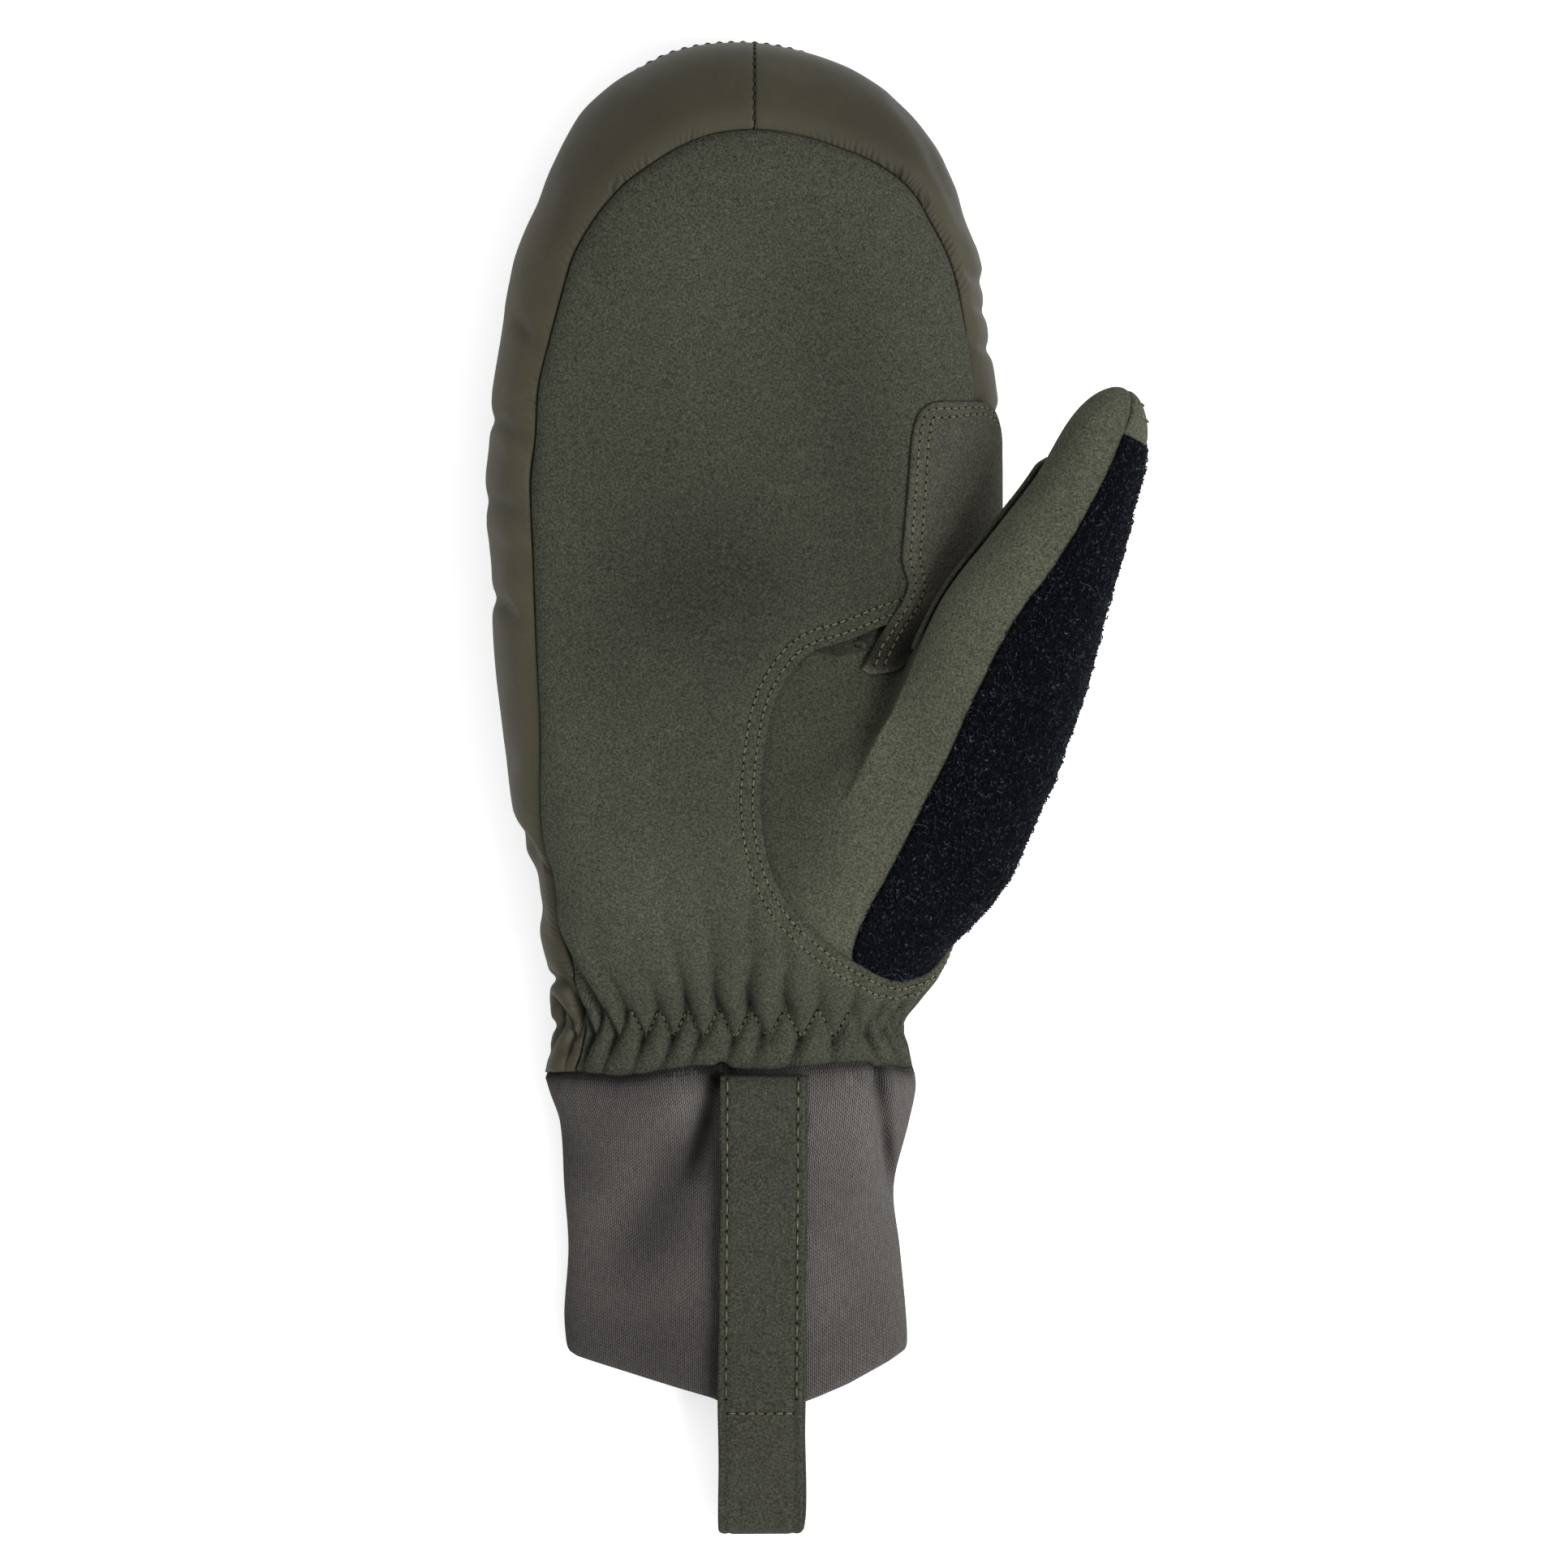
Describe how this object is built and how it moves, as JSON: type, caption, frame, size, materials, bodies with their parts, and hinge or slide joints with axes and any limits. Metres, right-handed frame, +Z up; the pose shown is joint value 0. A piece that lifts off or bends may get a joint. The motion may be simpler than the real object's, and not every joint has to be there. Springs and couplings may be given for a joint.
{
  "type": "ski mitten",
  "caption": "Right-hand ski mitten lying palm up, with a padded shell, a suede-like palm and patch, a terry-backed thumb, a gathered wrist, a knit cuff and a pull loop.",
  "frame": {"origin": "on the surface that the mitten lies on, under the middle of the palm, at the underside of the back panel", "axes": "+X to the thumb side, +Y to the fingertips, +Z up out of the palm"},
  "size_m": [0.1473, 0.3348, 0.0544],
  "materials": {
    "shell_fabric": "olive nylon with a slight sheen, softly padded",
    "palm_suede": "matt grey-olive imitation suede",
    "patch_suede": "matt grey suede, double stitched",
    "thumb_suede": "matt light olive imitation suede",
    "terry": "black looped terry with loose fibres",
    "cuff_knit": "grey-brown jersey with fine upright ribs",
    "strap_suede": "matt grey suede strap, stitched along both edges"
  },
  "bodies": {
    "root": {"back_panel": "shell_fabric", "side_wall_outer": "shell_fabric", "side_wall_thumb": "shell_fabric", "palm_panel": "palm_suede", "index_patch": "patch_suede", "crotch_strip": "patch_suede", "thumb_panel": "thumb_suede", "thumb_tip_cap": "thumb_suede", "thumb_terry": "terry", "knit_cuff": "cuff_knit", "pull_loop": "strap_suede"}
  },
  "joints": []
}
